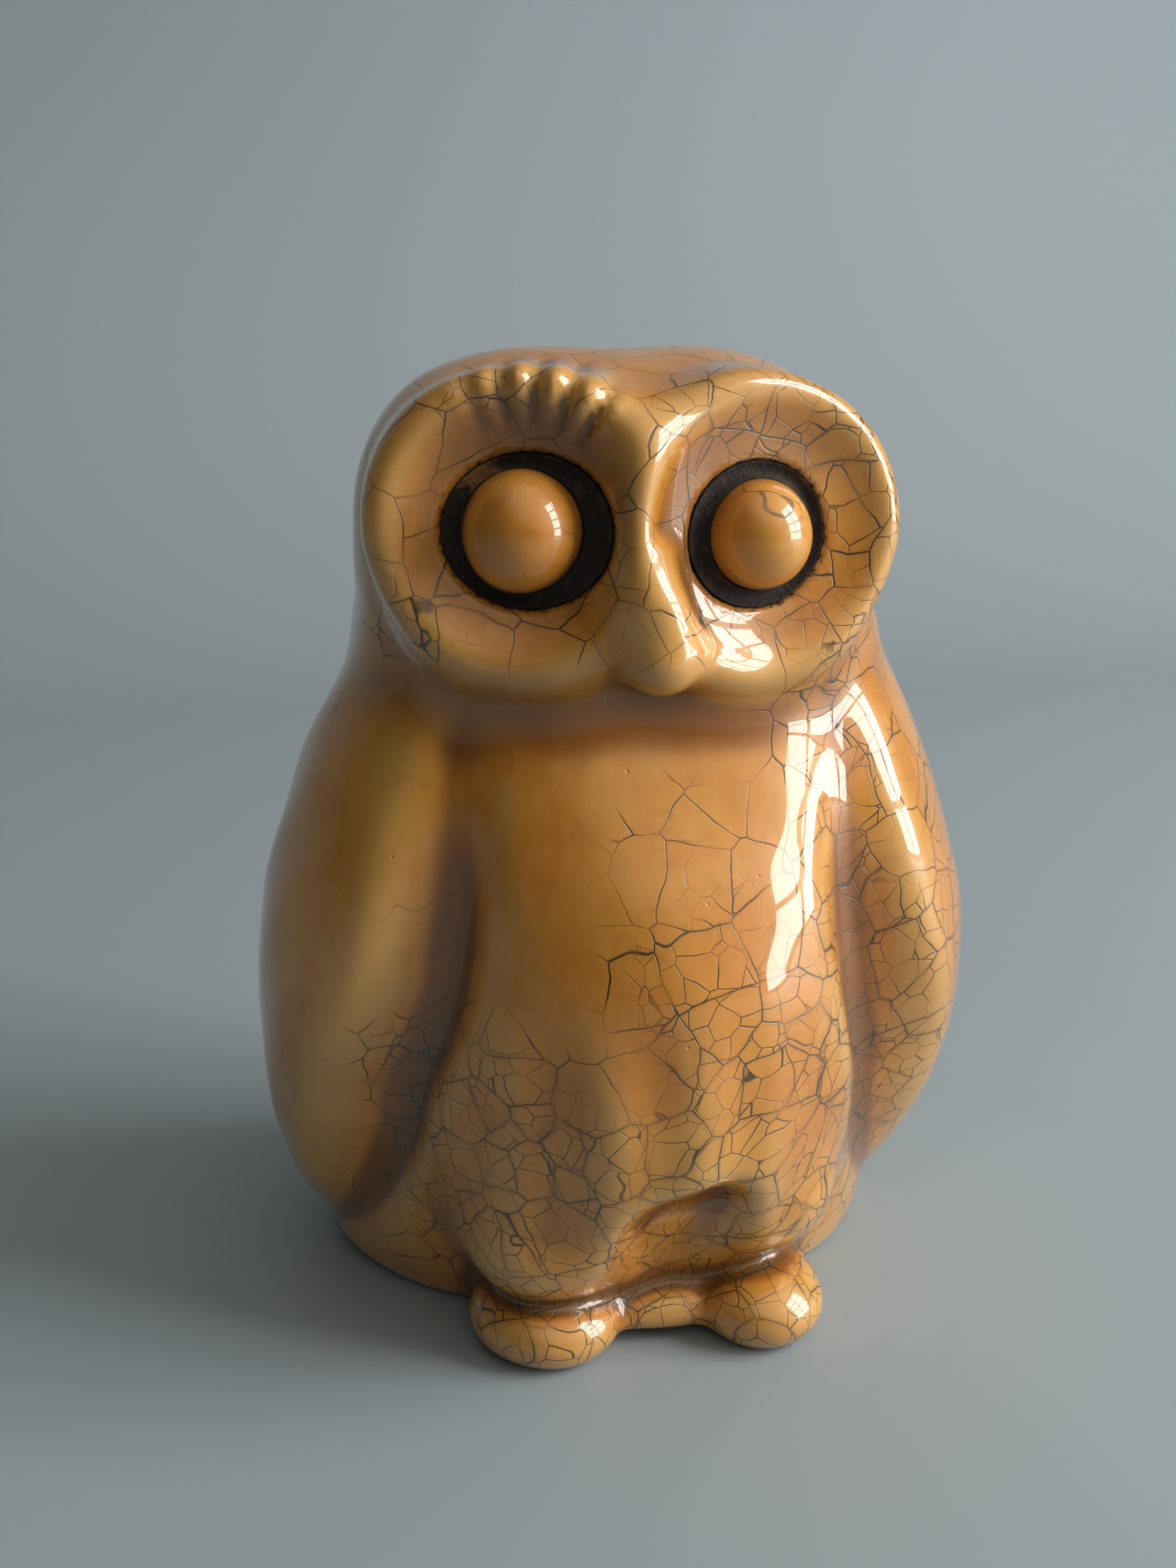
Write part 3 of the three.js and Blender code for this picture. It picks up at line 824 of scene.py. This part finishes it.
def crackle(shader, amount):
    """(line strength, stain) of a net of cracks, whose finer ones end on the coarser ones."""
    bent = shader.warped(24, 7, shader.warped(5, 1.4))
    coarse = shader.voronoi(COARSE_CELL, "DISTANCE_TO_EDGE", bent)["Distance"]
    cell = shader.voronoi(COARSE_CELL, "F1", bent)["Color"]
    inner_place = shader.vector("ADD", bent, shader.vector("SCALE", cell, scale=60.0))
    fine = shader.voronoi(FINE_CELL, "DISTANCE_TO_EDGE", inner_place, 0.8)["Distance"]
    patches = shader.math("SUBTRACT", shader.noise(20, 2.0), 0.5)
    dense = shader.math("ADD", amount, shader.math("MULTIPLY", patches, 1.3))
    fading = shader.span(shader.noise(6, 1.0), 0.3, 0.6, 0.4, 1.0)
    main_line = crack_line(shader, coarse, COARSE_CELL, COARSE_CRACK)
    main = shader.math("MULTIPLY", main_line, shader.span(dense, 0.12, 0.4))
    twig_line = crack_line(shader, fine, FINE_CELL, FINE_CRACK)
    twig = shader.math("MULTIPLY", twig_line, shader.span(dense, 0.4, 0.7))
    line = shader.math("MULTIPLY", shader.math("MAXIMUM", main, twig), fading)
    stained = crack_line(shader, coarse, COARSE_CELL, STAIN)
    return line, shader.math("MULTIPLY", stained, shader.span(dense, 0.3, 0.8))


def glaze_colour(shader):
    """Honey glaze, clouded, with faint streaks where it ran down."""
    clouds = shader.noise(24, 3.0, 0.55)
    colour = shader.mix(shader.span(clouds, 0.35, 0.68), HONEY, OCHRE)
    stretched = shader.vector("MULTIPLY", shader.place, (1.0, 1.0, 0.12))
    runs = shader.noise(1.7, 2.0, 0.6, place=stretched)
    colour = shader.mix(shader.span(runs, 0.45, 0.8, 0.0, 0.22), colour, PALE_RIDGE)
    mottle = shader.noise(3.2, 3.0, 0.6)
    return shader.mix(shader.span(mottle, 0.5, 0.8, 0.0, 0.3), colour, TOFFEE)


def set_glaze_gloss(surface):
    surface.inputs["Roughness"].default_value = BALL_ROUGHNESS
    surface.inputs["Specular IOR Level"].default_value = 0.4
    surface.inputs["IOR"].default_value = 1.5
    surface.inputs["Coat Weight"].default_value = 1.0
    surface.inputs["Coat Roughness"].default_value = 0.03
    surface.inputs["Coat IOR"].default_value = 1.5


def skin_material():
    shader = Shader("amber_glaze")
    pooling = shader.attribute("pooling")
    fine_pooling = shader.attribute("fine_pooling")
    colour = glaze_colour(shader)
    colour = shader.mix(shader.span(pooling, -0.01, -0.10, 0.0, 0.5), colour, PALE_RIDGE)
    colour = shader.mix(shader.span(pooling, 0.0, 0.11, 0.0, 0.9), colour, TOFFEE)
    colour = shader.mix(shader.span(fine_pooling, 0.015, 0.09, 0.0, 0.7), colour, OLIVE)
    patchy = shader.span(shader.noise(5, 2.0), 0.2, 0.8, 0.6, 1.0)
    # Umber for thick glaze and for painted shade in the eye dishes and under the chin.
    thickness_and_shade = shader.math("MULTIPLY", shader.attribute("thick_glaze_and_shade"), patchy)
    colour = shader.mix(shader.math("MULTIPLY", thickness_and_shade, 0.85), colour, UMBER)
    line, stain = crackle(shader, shader.attribute("crackle"))
    colour = shader.mix(shader.math("MULTIPLY", stain, 0.2), colour, OLIVE)
    colour = shader.mix(shader.math("MULTIPLY", line, 0.9), colour, CRACK)

    ragged = shader.span(shader.noise(0.9, 5.0, 0.7), 0.25, 0.75, -0.7, 0.7)
    spill = shader.math("ADD", shader.attribute("slip_edge"), ragged)
    spilled = shader.span(spill, 0.55, -0.25)
    colour = shader.mix(spilled, colour, SLIP_BLACK)
    bare = shader.span(shader.attribute("glazed"), 0.6, 0.4)
    colour = shader.mix(bare, colour, CLAY)

    shader.give(shader.surface.inputs["Base Color"], colour)
    set_glaze_gloss(shader.surface)
    dull = shader.math("MAXIMUM", bare, shader.math("MULTIPLY", spilled, 0.8))
    gloss = shader.math("SUBTRACT", 1.0, dull)
    shader.give(shader.surface.inputs["Coat Weight"], gloss)
    roughness = shader.span(gloss, 0.0, 1.0, BARE_ROUGHNESS, SKIN_ROUGHNESS)
    shader.give(shader.surface.inputs["Roughness"], roughness)
    swell = shader.bump(shader.noise(9, 2.0), 0.17 * MM)
    grooves = shader.bump(shader.math("SUBTRACT", 1.0, line), 0.06 * MM, below=swell)
    pits = shader.voronoi(5.2, "F1")["Distance"]
    pitted = shader.bump(shader.span(pits, 0.0, 0.07), 0.12 * MM, below=grooves)
    shader.give(shader.surface.inputs["Normal"], pitted)
    return shader.material


def eye_material():
    shader = Shader("eye_glaze")
    colour = glaze_colour(shader)
    line, _ = crackle(shader, 0.12)
    colour = shader.mix(shader.math("MULTIPLY", line, 0.8), colour, CRACK)
    shader.give(shader.surface.inputs["Base Color"], colour)
    set_glaze_gloss(shader.surface)
    swell = shader.bump(shader.noise(7, 2.0), 0.15 * MM)
    shader.give(shader.surface.inputs["Normal"], swell)
    return shader.material


def slip_material():
    shader = Shader("dark_slip")
    clouds = shader.noise(2.5, 4.0, 0.6)
    colour = shader.mix(shader.span(clouds, 0.5, 0.75), SLIP_BLACK, SLIP_BROWN)
    grains = shader.voronoi(0.55, "F1")["Distance"]
    colour = shader.mix(shader.span(grains, 0.16, 0.05, 0.0, 0.25), colour, GRAIN)
    bridge = shader.math("MULTIPLY", shader.attribute("glaze_bridge"), shader.noise(1.6, 3.0, 0.6))
    colour = shader.mix(shader.span(bridge, 0.22, 0.5, 0.0, 0.9), colour, THIN_GLAZE)
    shader.give(shader.surface.inputs["Base Color"], colour)
    shader.give(shader.surface.inputs["Roughness"], shader.span(grains, 0.0, 0.4, 0.45, 0.9))
    rough = shader.bump(shader.noise(0.6, 4.0, 0.7), 0.5 * MM)
    shader.give(shader.surface.inputs["Normal"], rough)
    return shader.material


def plain_material(name, colour, roughness):
    material = bpy.data.materials.new(name)
    material.use_nodes = True
    surface = material.node_tree.nodes["Principled BSDF"]
    surface.inputs["Base Color"].default_value = (*colour, 1)
    surface.inputs["Roughness"].default_value = roughness
    return material


# ---- studio, in metres ---------------------------------------------------------

CAMERA_PLACE = (-0.0445, -0.240, 0.148)
CAMERA_PITCH = math.radians(15)
CAMERA_YAW = math.radians(9.5)
CAMERA_LENS = 36.4  # on a 36 mm sensor along the picture's long side

# A softbox split into panes. Each pair is across, then up.
WINDOW_CENTRE = (0.91, -0.33, 0.45)
PANE = (0.27, 0.20)
PANE_PITCH = (0.31, 0.24)
PANES = (2, 4)
PANE_POWER = 2.1
PANE_COLOUR = (1.0, 0.98, 0.95)
ROOM_COLOUR = (0.72, 0.80, 0.92)
ROOM_STRENGTH = 0.03
SOFT_LIGHT_COLOUR = (1.0, 0.92, 0.78)
SOFT_LIGHT_STRENGTH = 0.85
SOFT_LIGHT_DIRECTION = (0.36, -0.42, 0.83)

BACKDROP_COLOUR = (0.29, 0.35, 0.39)
FLOOR_FRONT = -3
FLOOR_HALF_WIDTH = 3
BEND_START = 0.45  # where the floor starts to rise
BEND_RADIUS = 0.35
BEND_STEPS = 16
BACKDROP_TOP = 1.3


def add_camera():
    camera = bpy.data.cameras.new("camera")
    camera.sensor_fit = "AUTO"
    camera.sensor_width = 36
    camera.lens = CAMERA_LENS
    obj = bpy.data.objects.new("camera", camera)
    bpy.context.scene.collection.objects.link(obj)
    obj.location = CAMERA_PLACE
    obj.rotation_euler = (math.pi / 2 - CAMERA_PITCH, 0, -CAMERA_YAW)
    bpy.context.scene.camera = obj


def add_pane(name, place, turn):
    light = bpy.data.lights.new(name, "AREA")
    light.shape = "RECTANGLE"
    light.size, light.size_y = PANE
    light.energy = PANE_POWER
    light.color = PANE_COLOUR
    obj = bpy.data.objects.new(name, light)
    bpy.context.scene.collection.objects.link(obj)
    obj.location = place
    obj.rotation_euler = turn.to_euler()


def add_window(middle):
    """The panes of the softbox on the owl's left, all facing the way from its centre to middle."""
    centre = Vector(WINDOW_CENTRE)
    turn = (middle - centre).to_track_quat("-Z", "Y")
    for column in range(PANES[0]):
        for row in range(PANES[1]):
            across = (column - (PANES[0] - 1) / 2) * PANE_PITCH[0]
            up = (row - (PANES[1] - 1) / 2) * PANE_PITCH[1]
            add_pane(f"pane_{column}_{row}", centre + turn @ Vector((across, up, 0)), turn)


def add_world():
    """A dim room with one broad soft light, which has no edge to show in the glaze."""
    world = bpy.data.worlds.new("studio")
    bpy.context.scene.world = world
    world.use_nodes = True
    tree = world.node_tree
    coordinates = tree.nodes.new("ShaderNodeTexCoord")
    toward = tree.nodes.new("ShaderNodeVectorMath")
    toward.operation = "DOT_PRODUCT"
    toward.inputs[1].default_value = Vector(SOFT_LIGHT_DIRECTION).normalized()
    tree.links.new(coordinates.outputs["Generated"], toward.inputs[0])
    spread = tree.nodes.new("ShaderNodeMapRange")
    spread.interpolation_type = "SMOOTHSTEP"
    spread.inputs["From Min"].default_value = 0.45
    tree.links.new(toward.outputs["Value"], spread.inputs["Value"])
    background = tree.nodes["Background"]
    mix = tree.nodes.new("ShaderNodeMix")
    mix.data_type = "RGBA"
    mix.inputs[6].default_value = [channel * ROOM_STRENGTH for channel in ROOM_COLOUR] + [1]
    mix.inputs[7].default_value = [channel * SOFT_LIGHT_STRENGTH for channel in SOFT_LIGHT_COLOUR] + [1]
    tree.links.new(spread.outputs["Result"], mix.inputs["Factor"])
    tree.links.new(mix.outputs[2], background.inputs["Color"])


def add_backdrop():
    """One pale sheet that is the floor and rises behind the owl in a soft curve."""
    outline = [(FLOOR_FRONT, 0.0)]
    for step in range(BEND_STEPS + 1):
        angle = math.pi / 2 * step / BEND_STEPS
        y = BEND_START + BEND_RADIUS * math.sin(angle)
        outline.append((y, BEND_RADIUS * (1 - math.cos(angle))))
    outline.append((BEND_START + BEND_RADIUS, BACKDROP_TOP))
    vertices = [(side * FLOOR_HALF_WIDTH, y, z) for y, z in outline for side in (-1, 1)]
    faces = [(2 * i, 2 * i + 1, 2 * i + 3, 2 * i + 2) for i in range(len(outline) - 1)]
    mesh = bpy.data.meshes.new("backdrop")
    mesh.from_pydata(vertices, [], faces)
    mesh.polygons.foreach_set("use_smooth", [True] * len(mesh.polygons))
    obj = bpy.data.objects.new("backdrop", mesh)
    bpy.context.scene.collection.objects.link(obj)
    mesh.materials.append(plain_material("pale_backdrop", BACKDROP_COLOUR, 0.6))


# ---- assembly -------------------------------------------------------------------


def add_piece(obj, material, slot, *nodes):
    obj.data.materials.append(material)
    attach(obj, "root")
    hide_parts(*nodes)


add_piece(owl_skin(), skin_material(), "amber_glaze", "body_casting", "beak", "left_foot", "right_foot")
eye_glaze = eye_material()
dark_slip = slip_material()
for side in SIDES:
    add_piece(eyeball(side), eye_glaze, "eye_glaze", f"{side}_eyeball")
    add_piece(slip_ring(side), dark_slip, "dark_slip", f"{side}_eye_ring")

bpy.context.scene.view_settings.view_transform = "Standard"
add_camera()
add_window((Vector(cad_bounds[0]) + Vector(cad_bounds[1])) / 2)
add_world()
add_backdrop()
